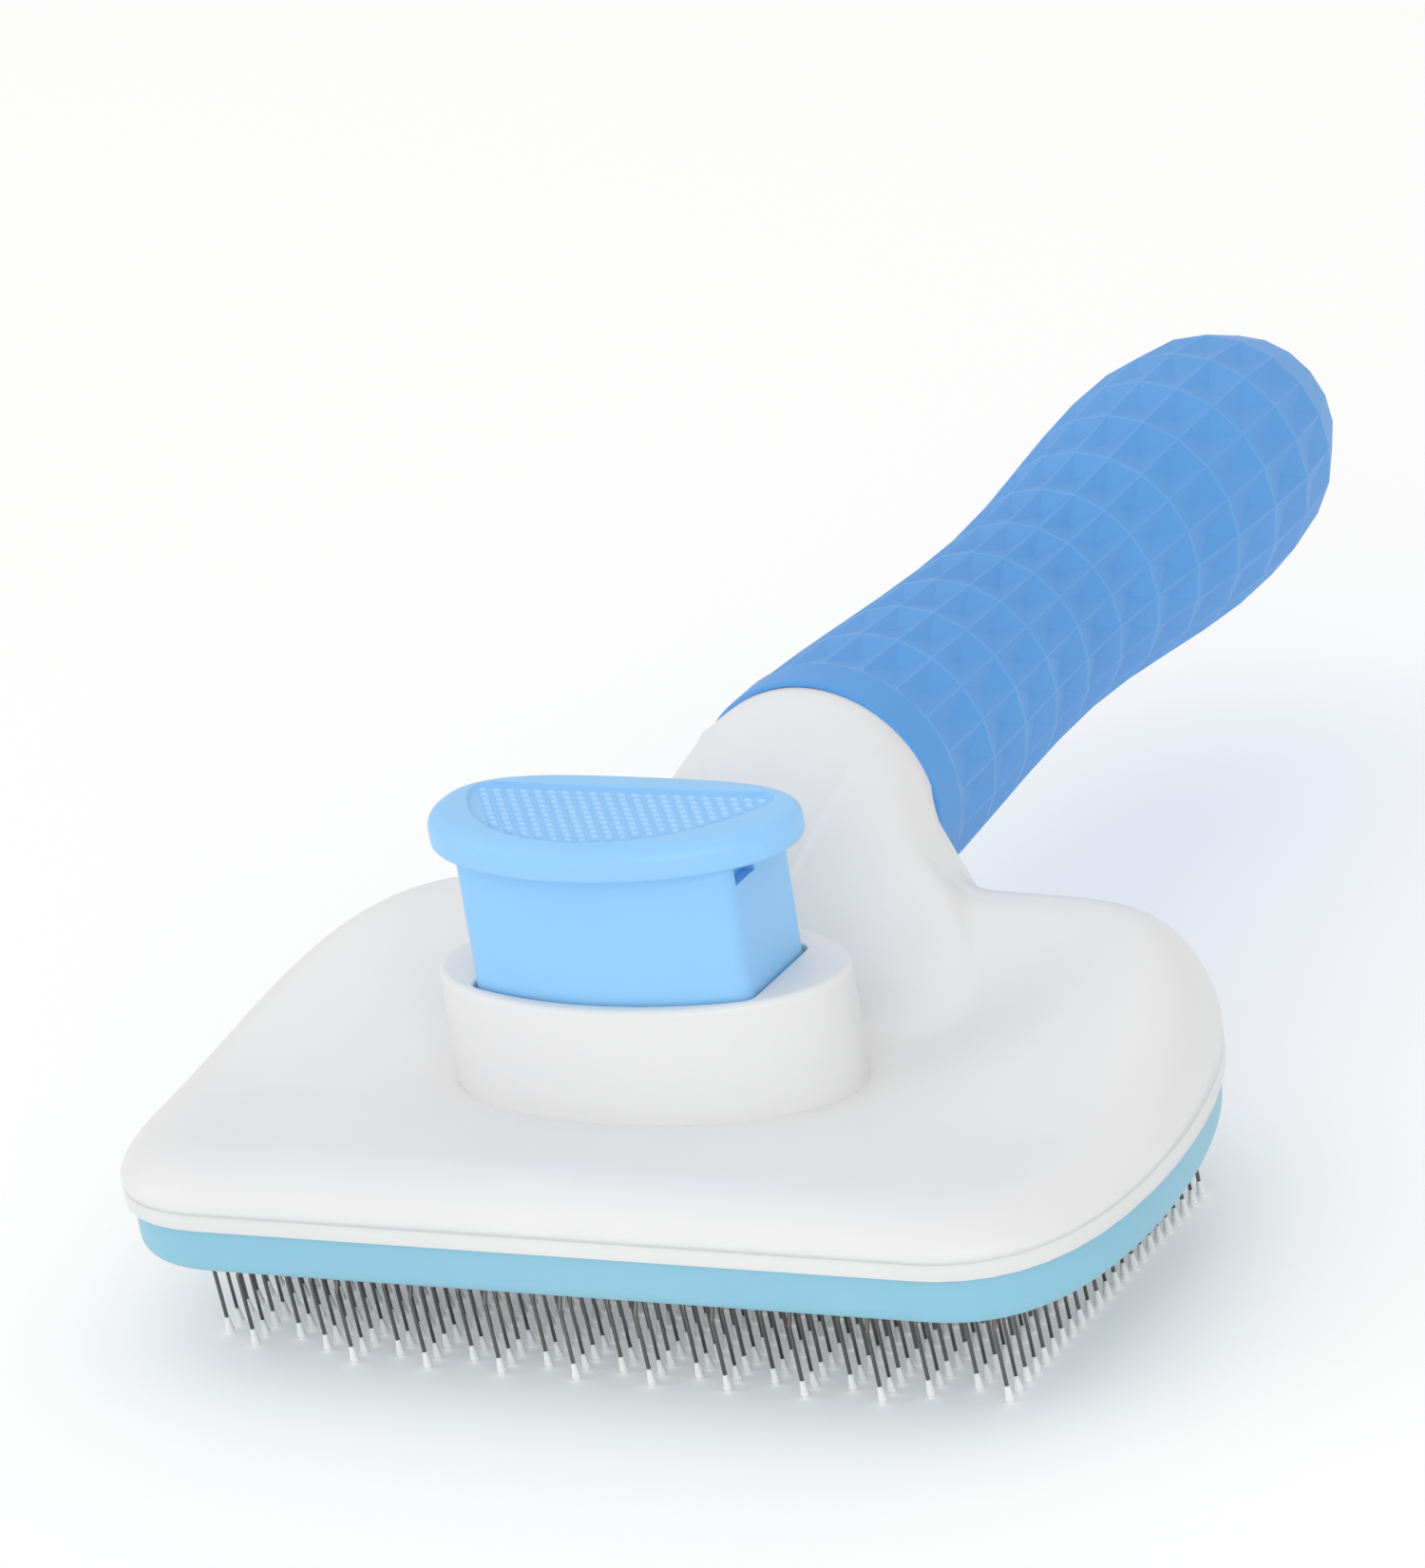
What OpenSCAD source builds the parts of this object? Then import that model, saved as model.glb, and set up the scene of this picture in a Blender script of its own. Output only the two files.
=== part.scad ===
// Self-cleaning slicker brush for pets.
// +Z is up, the handle runs towards +Y, and the brush stands on its pin tips at z = 0.
// The origin is under the middle of the overall length, on the symmetry plane.

/* [Overall] */

// Overall length from the front edge to the end of the grip
total_len = 183; // [178:1:192]
// Height of the seam between the white housing and the blue plate
seam_z = 15.7; // [15.2:0.1:16.2]
// Height of the handle axis
axis_z = 34; // [33.6:0.1:34.6]

/* [Head] */

// Greatest width of the head
head_w = 108; // [107:0.2:110]
// Depth of the head from its front edge to its rear edge
head_d = 64; // [63.6:0.1:64.4]
// Height of the shell above the seam along its front edge
front_rise = 5.6; // [5.2:0.1:5.6]
// Extra height of the rear shoulders
shoulder_rise = 7.2; // [6.5:0.1:8]
// Wall thickness of the mouldings
wall = 2; // [1.8:0.1:2.2]

/* [Pins] */

// Wire diameter
wire_d = 0.42; // [0.36:0.02:0.46]
// Number of slots, and so of columns of pins
slot_count = 22; // [20:2:22]
// Spacing of pins along a slot and of the slots themselves
pitch = 4.1; // [4:0.1:4.2]
// Width of a tip
tip_d = 0.95; // [0.8:0.05:1.1]
// Length of a tip
tip_len = 1.9; // [1.6:0.1:2.2]

/* [Button] */

// How far the button and plate travel
travel = 8; // [6:0.5:8]
// Half width of the button's body
button_hw = 15; // [14.9:0.1:15.2]
// Height of the button's top
button_top = 51.3; // [50.8:0.1:52]
// Length of the collar's oval
collar_l = 43.6; // [43.2:0.2:45]
// Width of the collar's oval
collar_w = 23.6; // [23.4:0.2:24.4]

/* [Grip] */

// Radius of the grip at its front edge
grip_front_r = 13.5; // [13.3:0.1:14]
// Radius of the grip at its waist
grip_waist_r = 11.4; // [11:0.1:12]
// Radius of the grip at its bulge
grip_bulge_r = 14.2; // [13.5:0.1:15]
// Number of facets round the grip
facets = 20; // [16:2:24]

/* [Hidden] */

$fn = 48;
gap = 0.1;
slide_gap = 0.25;

face_z = seam_z - 5.2;
face_t = 1.6;
part_z = seam_z + 1.8;
floor_z = seam_z + 2;

collar_y = 27.3;
collar_top = seam_z + 18.5;
collar_base = seam_z + 6.9;
button_front = 17.3;
button_back = 33.4;
button_corner = 20.2;
button_bottom = floor_z + travel + 0.6;
cap_t = 3.6;
cap_z = button_top - cap_t;
tab_y = 28;
tab_len = 8;
post_x = 3 * pitch;
post_y = [22.8, 31.2];
post_d = 3;
spring_x = 6.2;
spring_y = 26.4;
spring_r = 2.9;
spring_wire = 0.7;
spring_turns = 8;
spring_top = cap_z - 4;

neck_r = 12.5;
neck_end = 69;
grip_start = 66;
waist_y = 114;
bulge_y = 155;
grip_t = 2.4;
core_r = 10.2;
core_end = total_len - 6;
tongue_drop = 7;

base_top = seam_z - 0.1;
base_bottom = seam_z - 3.3;
field_front = 5.4;

boss_spots = [[-40, 12], [40, 12], [-37, 46], [37, 46]];
base_screw_spots = [[-8 * pitch, 22], [8 * pitch, 22], [-5 * pitch, 50], [5 * pitch, 50],
                    [-5 * pitch, 9], [5 * pitch, 9]];
collar_screw_x = 18.6;
core_screw_y = [87, 131, 160];
neck_screw_y = [56, 60.6];

shell_white = [0.93, 0.94, 0.95];
chassis_white = [0.9, 0.91, 0.92];
button_blue = [0.59, 0.78, 0.97];
plate_cyan = [0.57, 0.78, 0.87];
grip_blue = [0.4, 0.63, 0.87];
steel = [0.5, 0.5, 0.52];

// Moves parts drawn from the front edge so that the origin is under mid length.
module place() {
  translate([0, -total_len / 2, 0])
    children();
}

function clamp01(t) = min(1, max(0, t));
function ramp(a, b, t) = let(u = clamp01((t - a) / (b - a))) u * u * (3 - 2 * u);
function mix(a, b, t) = a + (b - a) * t;
function bez(p, t) =
  pow(1 - t, 3) * p[0] + 3 * pow(1 - t, 2) * t * p[1] + 3 * (1 - t) * t * t * p[2] + pow(t, 3) * p[3];
function bez_run(p, n) = [for (i = [1:n]) bez(p, i / n)];
function reversed(points) = [for (i = [len(points) - 1:-1:0]) points[i]];
function flip(points) = [for (p = reversed(points)) [-p[0], p[1]]];

// Right half of the head's outline, from the middle of the front edge to the rear edge.
hw = head_w / 2;
front_corner = bez_run([[hw - 15.4, 0], [hw - 7.2, 0], [hw - 0.3, 5], [hw - 0.1, 22]], 9);
side_run = bez_run([[hw - 0.1, 22], [hw + 0.1, 30], [hw - 1.2, 43], [hw - 6.5, 54]], 8);
rear_corner = bez_run(
  [[hw - 6.5, 54], [hw - 9.7, 60.6], [hw - 15, head_d - 0.3], [hw - 24, head_d - 0.2]], 8);
head_half = concat([[hw - 15.4, 0]], front_corner, side_run, rear_corner);

// Plan outline of the head, inset by d.
module head_plan(d = 0) {
  offset(delta = -d)
    polygon(concat(head_half, [[20, head_d], [-20, head_d]], flip(head_half)));
}

// The button's D-shaped plan, grown by d.
module button_plan(d = 0) {
  sag = button_corner - button_front;
  arc_r = (button_hw * button_hw + sag * sag) / (2 * sag);
  intersection() {
    translate([-button_hw - d, button_front - 2])
      square([2 * button_hw + 2 * d, button_back - button_front + 2 + d]);
    translate([0, button_front + arc_r])
      circle(r = arc_r + d, $fn = 180);
  }
}

// The collar's oval plan.
module collar_plan() {
  translate([0, collar_y])
    scale([collar_l / 100, collar_w / 100])
      circle(d = 100, $fn = 96);
}

// Height of the shell's shoulders, without their rounded edges.
function shoulder(x, y) =
  let(rise = mix(ramp(39, 55, y), ramp(18, 52, y), ramp(20, 42, abs(x))))
  seam_z + front_rise + shoulder_rise * rise + 1.1 * (1 - pow(x / hw, 2));
// Section of the neck at y: its base height, top height and half width.
function neck_base(y) = mix(shoulder(12, y) - 2 - 8 * (1 - ramp(34, 44, y)), axis_z, ramp(56, head_d, y));
function neck_top(y) = mix(seam_z + 7.5, axis_z + neck_r, ramp(37, 66.5, y)) - 8 * (1 - ramp(34, 44, y));
function neck_half(y) = neck_r + 9 * (1 - ramp(42, 66, y));
function neck_z(x, y) =
  let(w = neck_half(y), b = neck_base(y))
  abs(x) < w ? b + (neck_top(y) - b) * sqrt(1 - pow(x / w, 2)) : b - 2 * (abs(x) - w);
// Largest of two heights, with a fillet of about k.
function blend_max(a, b, k) =
  let(h = clamp01(0.5 + (a - b) / (2 * k))) mix(b, a, h) + k * h * (1 - h);
// Height of the shell's lower edge at a point of its outline.
function edge_z(p) =
  p[1] > head_d - 1.5 ? max(part_z, min(axis_z, axis_z - 2 * (abs(p[0]) - neck_r))) : part_z;

shell_mid = [0, 42];
neck_half_run = concat(
  [for (x = [25:-2.5:20]) [x, head_d]],
  bez_run([[20, head_d], [15, head_d + 0.2], [neck_r, head_d + 0.6], [neck_r, neck_end - 2]], 6),
  [[neck_r, neck_end]],
  [for (a = [15:15:75]) [neck_r * cos(a), neck_end]]);
front_run = [for (i = [1:7]) [(hw - 15.4) * i / 7, 0]];
shell_half = concat(front_run, front_corner, side_run, rear_corner, neck_half_run);
shell_edge = concat([[0, 0]], shell_half, [[0, neck_end]], flip(shell_half));
ring_steps = [1, 0.985, 0.965, 0.935, 0.89, 0.83, 0.75, 0.65, 0.54, 0.42, 0.28, 0.14];

// Height of the shell over a point that lies a share s of the way from shell_mid to edge point p.
function shell_z(p, s, drop) =
  let(q = shell_mid + s * (p - shell_mid),
      reach = norm(p - shell_mid),
      low = edge_z(p),
      t = clamp01((1 - s) * reach / 7),
      dome = low + (shoulder(q[0], q[1]) - drop - low) * sqrt(1 - pow(1 - t, 2)),
      neck = neck_z(q[0], q[1]) - drop)
  p[1] >= neck_end - 0.01 ? (s == 1 ? neck : blend_max(dome, neck, 1)) :
  s == 1 ? low : max(low, blend_max(dome, neck, mix(0.2, 3, t)));

// One skin of the shell, inset by d and lowered by d.
function shell_skin(d) = [
  for (s = ring_steps) for (p = shell_edge)
    let(reach = norm(p - shell_mid), k = 1 - d / reach, q = shell_mid + s * k * (p - shell_mid),
        on_rim = s == 1 && p[1] < neck_end - 0.01)
    [q[0], q[1], on_rim ? edge_z([q[0], p[1]]) : shell_z(p, s, d)]
];

module shell_body() {
  n = len(shell_edge);
  m = len(ring_steps);
  outer = shell_skin(0);
  inner = shell_skin(wall);
  all = n * m;
  points = concat(
    outer, inner,
    [[shell_mid[0], shell_mid[1], shell_z([0, 0], 0, 0)],
     [shell_mid[0], shell_mid[1], shell_z([0, 0], 0, wall)]]);
  sheet = [for (j = [0:m - 2]) for (i = [0:n - 1])
    let(a = j * n + i, b = j * n + (i + 1) % n) [[a, b, a + n], [b, b + n, a + n]]];
  faces = concat(
    [for (q = sheet) for (f = q) [f[2], f[1], f[0]]],
    [for (q = sheet) for (f = q) [f[0] + all, f[1] + all, f[2] + all]],
    [for (i = [0:n - 1]) [all * 2, (m - 1) * n + (i + 1) % n, (m - 1) * n + i]],
    [for (i = [0:n - 1]) [all * 2 + 1, all + (m - 1) * n + i, all + (m - 1) * n + (i + 1) % n]],
    [for (i = [0:n - 1]) let(k = (i + 1) % n) each [[i, k, all + i], [k, all + k, all + i]]]);
  polyhedron(points, faces);
}

// A screw with its head's top at z = 0 and its shank pointing up.
module screw_up(d, head_d, head_h, length) {
  difference() {
    union() {
      cylinder(d = head_d, h = head_h);
      translate([0, 0, head_h])
        cylinder(d = d, h = length);
    }
    translate([0, 0, -1])
      cylinder(d = head_d * 0.45, h = 1 + head_h * 0.6, $fn = 6);
  }
}

module at_spots(spots, z) {
  for (s = spots)
    translate([s[0], s[1], z])
      children();
}

// Height of the shell's inner skin over a boss.
function ceiling(s) = shoulder(s[0], s[1]) - wall;

// Wall across the head's rear, from y = to - length to y = to, whose top lies drop below the
// shell's lower edge under the neck.
module neck_wall(to, length, drop) {
  reach = neck_r + (axis_z - part_z) / 2;
  profile = [[-reach, seam_z], [reach, seam_z], [reach, part_z - drop],
             [neck_r, axis_z - drop], [-neck_r, axis_z - drop], [-reach, part_z - drop]];
  translate([0, to, 0])
    rotate([90, 0, 0])
      linear_extrude(length)
        polygon(profile);
}

module upper_shell() {
  color(shell_white)
    place()
      difference() {
        union() {
          shell_body();
          for (s = boss_spots)
            translate([s[0], s[1], floor_z + 0.2])
              difference() {
                cylinder(d = 5, h = ceiling(s) - floor_z + 0.6);
                translate([0, 0, -1])
                  cylinder(d = 1.8, h = 4.6);
              }
        }
        translate([0, 0, part_z - 1])
          linear_extrude(collar_top)
            button_plan(0.6);
        translate([-button_hw - 2.4, tab_y - tab_len / 2 - 0.6, part_z - 1])
          cube([2 * button_hw + 4.8, tab_len + 1.2, collar_top]);
        for (x = [-1, 1])
          translate([x * collar_screw_x, collar_y, part_z])
            cylinder(d = 2.2, h = 12);
        neck_wall(neck_end + 1, neck_end - head_d + 3.4, gap / 2);
        translate([0, 0, collar_base - gap])
          linear_extrude(10)
            offset(delta = gap)
              collar_plan();
      }
}

module lower_chassis() {
  color(chassis_white)
    place()
      difference() {
        union() {
          translate([0, 0, seam_z])
            linear_extrude(1.8 - gap)
              head_plan(0.25);
          translate([0, 0, seam_z])
            linear_extrude(floor_z - seam_z)
              head_plan(wall + 1);
          neck_wall(head_d - 0.1, 1.8, gap);
          translate([0, neck_end, axis_z])
            rotate([90, 0, 0])
              intersection() {
                cylinder(r = neck_r, h = neck_end - head_d + 0.3);
                translate([-20, -20 - gap, -1])
                  cube([40, 20, 10]);
              }
          for (x = [-spring_x, spring_x])
            translate([x, spring_y, seam_z])
              cylinder(d = 3.6, h = 12);
          for (y = neck_screw_y)
            translate([0, y, seam_z])
              cylinder(d = 6, h = axis_z - tongue_drop - seam_z - gap);
        }
        for (y = neck_screw_y)
          translate([0, y, seam_z - 1])
            union() {
              cylinder(d = 2.6, h = 20);
              cylinder(d = 5, h = 4);
            }
        for (x = [-post_x, post_x], y = post_y)
          translate([x, y, seam_z - 1])
            cylinder(d = post_d + 0.5, h = 6);
        at_spots(boss_spots, seam_z - 1)
          union() {
            cylinder(d = 2.4, h = 8);
            cylinder(d = 4.6, h = 2);
          }
        at_spots(base_screw_spots, seam_z - 1)
          cylinder(d = 1.8, h = 8);
        translate([0, neck_end + 1, axis_z])
          rotate([90, 0, 0])
            cylinder(r = core_r + gap, h = neck_end - head_d + 4);
      }
}

// Length of the field of pins at column x, as [front, back].
function field_span(x) =
  let(u = abs(x) / hw)
  [field_front + 7 * pow(u, 8), head_d - 5 - 18 * pow(u, 6)];
function column_x(i) = (i - (slot_count - 1) / 2) * pitch;
// Pins of one column, alternate columns being half a pitch apart.
function column_pins(i) =
  let(x = column_x(i), span = field_span(x), start = field_front + (i % 2) * pitch / 2)
  [for (k = [0:20]) let(y = start + k * pitch) if (y >= span[0] - 0.1 && y <= span[1]) [x, y]];
// Where the pins of columns first to last stand.
function bank_spots(first, last) = [for (i = [first:last]) each column_pins(i)];
// The columns are shared out over six banks, from the left edge to the right.
function bank(k) = [slot_count * k / 6, slot_count * (k + 1) / 6];
function bank_run(k) = bank_spots(ceil(bank(k)[0]), ceil(bank(k)[1]) - 1);

// Each pin leans forward from its root to an elbow, then leans back to its tip.
root_lean = 20;
tip_lean = 7;
tip_r = tip_d / 2;
elbow_z = face_z - 2.6;
root_z = base_bottom + 1.4;
lean_y = (elbow_z - tip_r) * tan(tip_lean);

module pin_wire() {
  low = (elbow_z - tip_r) / cos(tip_lean) - tip_len + tip_r;
  high = (root_z - elbow_z) / cos(root_lean);
  translate([0, -lean_y, elbow_z])
    union() {
      rotate([tip_lean, 0, 0])
        translate([0, 0, -low])
          cylinder(d = wire_d - 0.02, h = low + 0.06, $fn = 16);
      rotate([-root_lean, 0, 0])
        translate([0, 0, -0.04])
          cylinder(d = wire_d, h = high + 0.04, $fn = 16);
    }
}

module wire_bank(k) {
  color(steel)
    place()
      for (p = bank_run(k))
        translate([p[0], p[1], 0])
          pin_wire();
}

// A bank of teardrops that stand on their round ends.
module tip_bank(k) {
  profile = concat(
    [for (a = [-90:20:30]) [tip_r * cos(a), tip_r + tip_r * sin(a)]],
    [[wire_d / 2 + 0.04, tip_len], [0, tip_len]]);
  color([0.97, 0.97, 0.97])
    place()
      for (p = bank_run(k))
        translate([p[0], p[1], tip_r])
          rotate([tip_lean, 0, 0])
            translate([0, 0, -tip_r])
              rotate_extrude($fn = 16)
                polygon(profile);
}

module pin_wires_a() wire_bank(0);
module pin_wires_b() wire_bank(1);
module pin_wires_c() wire_bank(2);
module pin_wires_d() wire_bank(3);
module pin_wires_e() wire_bank(4);
module pin_wires_f() wire_bank(5);
module pin_tips_a() tip_bank(0);
module pin_tips_b() tip_bank(1);
module pin_tips_c() tip_bank(2);
module pin_tips_d() tip_bank(3);
module pin_tips_e() tip_bank(4);
module pin_tips_f() tip_bank(5);

module pin_base() {
  color([0.75, 0.8, 0.85])
    place()
      difference() {
        translate([0, 0, base_bottom])
          linear_extrude(base_top - base_bottom)
            head_plan(3.4);
        for (x = [-post_x, post_x], y = post_y)
          translate([x, y, base_bottom - 1])
            cylinder(d = post_d + 0.5, h = 6);
        at_spots(base_screw_spots, base_bottom - 1)
          union() {
            cylinder(d = 2.4, h = 6);
            cylinder(d = 3.9, h = 2.4);
          }
      }
}

module stripper_plate() {
  color(plate_cyan)
    place()
      difference() {
        union() {
          translate([0, 0, face_z + 1])
            linear_extrude(face_t - 1)
              head_plan(1);
          translate([0, 0, face_z + 0.35])
            linear_extrude(0.65)
              head_plan(1.3);
          translate([0, 0, face_z])
            linear_extrude(0.35)
              head_plan(1.9);
          translate([0, 0, face_z + face_t])
            linear_extrude(seam_z - face_z - face_t - gap)
              difference() {
                head_plan(1);
                head_plan(2.8);
              }
        }
        for (i = [0:slot_count - 1])
          let(x = column_x(i), span = field_span(x))
          translate([x, span[0] - 2.4, face_z - 1])
            linear_extrude(4)
              union() {
                translate([-0.7, 0])
                  square([1.4, span[1] - span[0] + 4.6]);
                for (y = [0, span[1] - span[0] + 4.6])
                  translate([0, y])
                    circle(d = 1.4, $fn = 24);
              }
      }
}

module button_collar() {
  color(shell_white)
    place()
      difference() {
        translate([0, 0, collar_base])
          linear_extrude(collar_top - collar_base)
            collar_plan();
        translate([0, 0, collar_base - 1])
          linear_extrude(collar_top)
            button_plan(slide_gap);
        translate([-button_hw - 2, tab_y - tab_len / 2 - 0.4, collar_base - 1])
          cube([2 * button_hw + 4, tab_len + 0.8, collar_top - collar_base - 1]);
        for (x = [-1, 1])
          translate([x * collar_screw_x, collar_y, collar_base - 1])
            cylinder(d = 1.8, h = 7);
      }
}

// The button's hollow body, its stop tabs and the four posts that carry the plate.
module button_body() {
  color(button_blue)
    place()
      difference() {
        union() {
          translate([0, 0, button_bottom])
            linear_extrude(cap_z - button_bottom)
              button_plan();
          translate([-button_hw - 1.4, tab_y - tab_len / 2, collar_top - 4])
            cube([2 * button_hw + 2.8, tab_len, 1.9]);
          for (x = [-post_x, post_x], y = post_y)
            translate([x, y, face_z + face_t])
              cylinder(d = post_d, h = button_bottom - face_z - face_t + 3);
        }
        difference() {
          translate([0, 0, button_bottom - 1])
            linear_extrude(spring_top - button_bottom + 1)
              button_plan(-1.6);
          for (x = [-post_x, post_x], y = post_y)
            translate([x, y, button_bottom - 1])
              cylinder(d = post_d + 1.2, h = 30);
        }
        for (x = [-1, 1])
          translate([x * (button_hw - 0.4), button_corner + 3, cap_z - 1.1])
            cube([2, 4, 2.4], center = true);
      }
}

// The cap's plan, inset by d: a half oval at the front and a squarer back.
module cap_plan(d = 0) {
  half = button_hw + 5.2;
  mid = collar_y - 1.3;
  front = mid - button_front + 2.7;
  back = button_back - mid + 0.6;
  offset(delta = -d)
    polygon(concat(
      [for (a = [-180:6:0]) [half * cos(a), mid + front * sin(a)]],
      [for (a = [6:6:174])
        [half * sign(cos(a)) * pow(abs(cos(a)), 0.6), mid + back * pow(sin(a), 0.75)]]));
}

// Thumb cap with rounded edges, built up in thin layers.
module button_cap() {
  round_r = 1.2;
  steps = 4;
  layer_h = round_r / steps;
  color(button_blue)
    place()
      union() {
        translate([0, 0, cap_z + round_r])
          linear_extrude(cap_t - 2 * round_r)
            cap_plan();
        for (k = [0:steps - 1])
          let(inset = round_r * (1 - sqrt(1 - pow((k + 0.5) / steps, 2)))) {
            translate([0, 0, cap_z + round_r - (k + 1) * layer_h])
              linear_extrude(layer_h + 0.01)
                cap_plan(inset);
            translate([0, 0, cap_z + cap_t - round_r + k * layer_h - 0.01])
              linear_extrude(layer_h + 0.01)
                cap_plan(inset);
          }
      }
}

// Helical compression spring of round wire, standing on z = 0.
module coil_spring(radius, wire, turns, height) {
  sides = 8;
  per_turn = 20;
  n = turns * per_turn;
  pitch_z = (height - wire) / n;
  points = [for (i = [0:n]) for (j = [0:sides - 1])
    let(a = 360 * i / per_turn, b = 360 * j / sides, r = radius + wire / 2 * cos(b))
    [r * cos(a), r * sin(a), wire / 2 + i * pitch_z + wire / 2 * sin(b)]];
  walls = [for (i = [0:n - 1]) for (j = [0:sides - 1])
    let(k = (j + 1) % sides, a = i * sides) each
    [[a + j, a + sides + j, a + k], [a + k, a + sides + j, a + sides + k]]];
  ends = [for (j = [1:sides - 2]) each
    [[0, j, j + 1], [n * sides, n * sides + j + 1, n * sides + j]]];
  polyhedron(points, concat(walls, ends));
}

module return_springs() {
  color(steel)
    place()
      for (x = [-spring_x, spring_x])
        translate([x, spring_y, floor_z + 0.1])
          coil_spring(spring_r, spring_wire, spring_turns, spring_top - floor_z - 0.2);
}

module shell_screws() {
  color(steel)
    place()
      at_spots(boss_spots, seam_z + 0.02)
        screw_up(1.8, 4, 0.9, 3);
}

module base_screws() {
  color(steel)
    place()
      at_spots(base_screw_spots, base_bottom + 0.4)
        screw_up(1.8, 3.6, 0.9, 3);
}

module collar_screws() {
  color(steel)
    place()
      for (x = [-1, 1])
        translate([x * collar_screw_x, collar_y, collar_base - 3.3])
          screw_up(1.8, 3.4, 0.9, 7);
}

// Radius of the grip's outside at y.
function grip_r(y) =
  y < waist_y ? mix(grip_front_r, grip_waist_r, ramp(grip_start, waist_y, y)) :
  y < bulge_y ? mix(grip_waist_r, grip_bulge_r, ramp(waist_y, bulge_y, y)) :
  grip_bulge_r * sqrt(max(0, 1 - pow((y - bulge_y) / (total_len - bulge_y), 2.4)));
function core_r_at(y) =
  y < neck_end + 0.5 ? core_r : max(2, grip_r(y + 3 * ramp(bulge_y, core_end, y)) - grip_t);

core_stations = concat(
  [neck_end - 3.6, neck_end + 0.49, neck_end + 0.5], [for (y = [73:6:core_end - 4]) y], [core_end]);

// Half of the moulded core inside the grip.
module core_half() {
  outer = [for (y = core_stations) [core_r_at(y), y]];
  inner = [for (y = core_stations) [max(0.4, core_r_at(y) - wall), min(y, core_end - 2)]];
  translate([0, 0, axis_z])
    rotate([-90, 0, 0])
      rotate([0, 0, 180])
        rotate_extrude(angle = 180, $fn = 64)
          polygon(concat(outer, reversed(inner)));
}

// Screw bosses that stand on the core's wall and end at the joint between its halves.
module core_bosses() {
  for (y = core_screw_y)
    translate([0, y, axis_z + gap / 2])
      cylinder(d = 6.4, h = core_r_at(y) - wall + 0.7);
}

module core_shell_half() {
  intersection() {
    core_half();
    translate([-20, 0, axis_z + gap / 2])
      cube([40, total_len, 30]);
  }
  core_bosses();
}

module handle_core_upper() {
  color(chassis_white)
    place()
      difference() {
        union()
          core_shell_half();
        for (y = core_screw_y)
          translate([0, y, axis_z - 1])
            cylinder(d = 1.8, h = 5);
      }
}

module handle_core_lower() {
  color(chassis_white)
    place()
      difference() {
        union() {
          translate([0, 0, 2 * axis_z])
            mirror([0, 0, 1])
              core_shell_half();
          translate([-7, 53, axis_z - tongue_drop])
            cube([14, neck_end - 54.5, 5]);
        }
        for (y = core_screw_y)
          translate([0, y, axis_z - 20])
            union() {
              cylinder(d = 2.2, h = 21);
              cylinder(d = 4.2, h = 16.05);
            }
        for (y = neck_screw_y)
          translate([0, y, axis_z - tongue_drop - 1])
            cylinder(d = 2, h = 5);
      }
}

module core_screws() {
  color(steel)
    place()
      for (y = core_screw_y)
        translate([0, y, axis_z - 4.98])
          screw_up(1.8, 3.6, 1, 6.6);
}

module neck_screws() {
  color(steel)
    place()
      for (y = neck_screw_y)
        translate([0, y, seam_z + 2.1])
          screw_up(2, 4.4, 0.9, 12.2);
}

// Soft grip: a plain front band, then staggered rings of flat facets and a domed end.
module grip_sleeve() {
  n = facets;
  step = 8.4;
  bands = floor((bulge_y + 14 - grip_start - 7) / step);
  stations = concat(
    [grip_start, grip_start + 0.8, grip_start + 7],
    [for (k = [1:bands]) grip_start + 7 + k * step],
    [total_len - 8, total_len - 3.4, total_len]);
  m = len(stations);
  function spin(j) = j < 3 ? 0 : (j % 2) * 180 / n;
  function ring(j, y, r) = [for (i = [0:n - 1])
    let(a = 360 * i / n + spin(j)) [r * sin(a), y, axis_z + r * cos(a)]];
  outer = [for (j = [0:m - 1]) each ring(j, stations[j], max(1.4, grip_r(stations[j]) - (j == 0 ? 0.5 : 0)))];
  inner_y = [for (j = [0:m - 1]) j < 3 ? [grip_start, neck_end + 0.3, neck_end + 0.6][j] : min(stations[j], core_end + 0.6)];
  function inner_r(j) =
    j < 2 ? neck_r + 0.3 :
    j > m - 4 ? [core_r_at(total_len - 12) + 0.3, 6, 2.6][j - m + 3] :
    core_r_at(inner_y[j] + 0.5) + 0.25;
  inner = [for (j = [0:m - 1]) each ring(j, inner_y[j], inner_r(j))];
  all = n * m;
  sheet = [for (j = [0:m - 2]) for (i = [0:n - 1])
    let(k = (i + 1) % n, a = j * n + i, b = j * n + k, c = a + n, d = b + n)
    each (j >= 3 && j % 2 == 1 ? [[a, b, d], [a, d, c]] : [[a, b, c], [b, d, c]])];
  faces = concat(
    [for (f = sheet) f],
    [for (f = sheet) [f[2] + all, f[1] + all, f[0] + all]],
    [for (i = [0:n - 1]) let(k = (i + 1) % n) each [[all + i, k, i], [all + i, all + k, k]]],
    [for (i = [1:n - 2]) [(m - 1) * n, (m - 1) * n + i, (m - 1) * n + i + 1]],
    [for (i = [1:n - 2]) [all + (m - 1) * n, all + (m - 1) * n + i + 1, all + (m - 1) * n + i]]);
  color(grip_blue)
    place()
      polyhedron(concat(outer, inner), faces);
}

upper_shell();
lower_chassis();
pin_base();
pin_wires_a();
pin_wires_b();
pin_wires_c();
pin_wires_d();
pin_wires_e();
pin_wires_f();
pin_tips_a();
pin_tips_b();
pin_tips_c();
pin_tips_d();
pin_tips_e();
pin_tips_f();
stripper_plate();
button_collar();
button_body();
button_cap();
return_springs();
shell_screws();
base_screws();
collar_screws();
neck_screws();
core_screws();
handle_core_upper();
handle_core_lower();
grip_sleeve();
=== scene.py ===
"""Self-cleaning slicker brush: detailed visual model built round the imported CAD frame."""
import math

import bmesh
import bpy
import numpy as np
from mathutils import Matrix, Vector


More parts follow.
